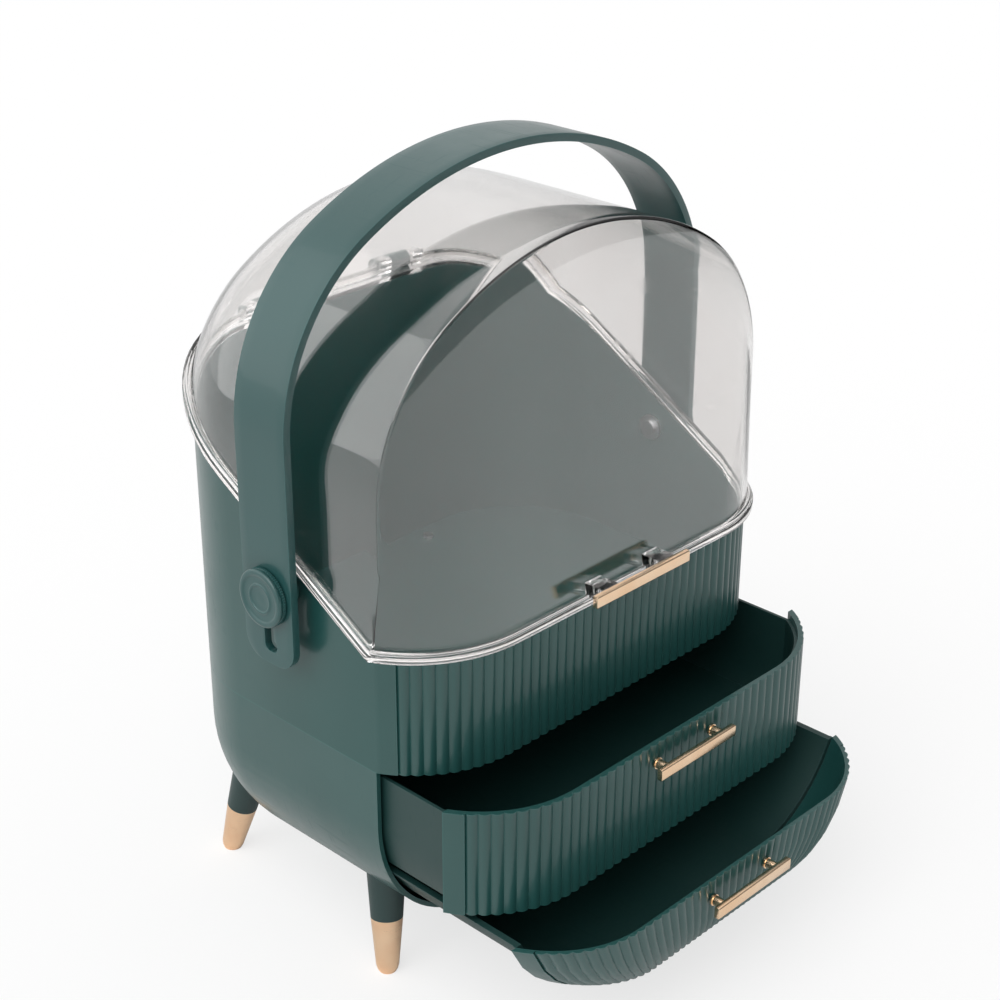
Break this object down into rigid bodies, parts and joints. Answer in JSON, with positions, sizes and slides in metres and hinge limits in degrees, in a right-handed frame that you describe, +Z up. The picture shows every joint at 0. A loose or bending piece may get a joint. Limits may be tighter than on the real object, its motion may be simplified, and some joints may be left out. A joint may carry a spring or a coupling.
{
  "type": "cosmetics organizer",
  "caption": "Makeup organizer on splayed legs with a fluted tray under a hinged clear domed lid, sliding drawers with pull bars and a lifting strap handle.",
  "frame": {"origin": "on the floor under the middle of the outer box, drawers as shown", "axes": "+Z up, +X to the object's right seen from its front, +Y to its back"},
  "size_m": [0.3176, 0.3204, 0.428],
  "materials": {
    "green_plastic": "dark bluish green moulded plastic with a satin sheen",
    "clear_plastic": "clear polished plastic with a bright rim",
    "pull_metal": "polished light gold anodised",
    "tip_metal": "satin rose gold anodised",
    "fastener_steel": "plain zinc plated"
  },
  "bodies": {
    "organizer_body": {"lower_housing": "green_plastic", "upper_tray": "green_plastic", "drawer_rail_left": "green_plastic", "drawer_rail_right": "green_plastic", "tray_screws": "fastener_steel", "hinge_pin_left": "fastener_steel", "hinge_pin_right": "fastener_steel", "front_left_leg": "green_plastic", "front_right_leg": "green_plastic", "back_left_leg": "green_plastic", "back_right_leg": "green_plastic", "front_left_tip": "tip_metal", "front_right_tip": "tip_metal", "back_left_tip": "tip_metal", "back_right_tip": "tip_metal", "leg_screws": "fastener_steel"},
    "lid": {"clear_lid": "clear_plastic", "lid_pull_bar": "pull_metal"},
    "handle_pivots": {"pivot_disc_left": "green_plastic", "pivot_disc_right": "green_plastic", "pivot_washers": "fastener_steel", "pivot_screws": "fastener_steel"},
    "handle": {"handle_strap": "green_plastic"},
    "upper_drawer": {"upper_drawer_box": "green_plastic", "upper_drawer_front": "green_plastic", "upper_drawer_pull": "pull_metal", "upper_pull_screws": "fastener_steel"},
    "lower_drawer": {"lower_drawer_box": "green_plastic", "lower_drawer_front": "green_plastic", "lower_drawer_pull": "pull_metal", "lower_pull_screws": "fastener_steel"}
  },
  "joints": [
    {"name": "lid_open", "type": "hinge", "parent": "organizer_body", "child": "lid", "pos_m": [0, 0.15555, 0.32145], "axis": [-1, 0, 0], "range_deg": [0, 42]},
    {"name": "handle_swing", "type": "hinge", "parent": "organizer_body", "child": "handle_pivots", "pos_m": [0, 0.03305, 0.2275], "axis": [-1, 0, 0], "range_deg": [0, 126]},
    {"name": "handle_lift", "type": "slide", "parent": "handle_pivots", "child": "handle", "axis": [0, 0, 1], "range_m": [0, 0.0275]},
    {"name": "upper_drawer_slide", "type": "slide", "parent": "organizer_body", "child": "upper_drawer", "axis": [0, -1, 0], "range_m": [-0.0458, 0.094]},
    {"name": "lower_drawer_slide", "type": "slide", "parent": "organizer_body", "child": "lower_drawer", "axis": [0, -1, 0], "range_m": [-0.0863, 0.0535]}
  ],
  "couplings": [
    {"joint": "handle_swing", "follows": "lid_open", "ratio": 3}
  ]
}
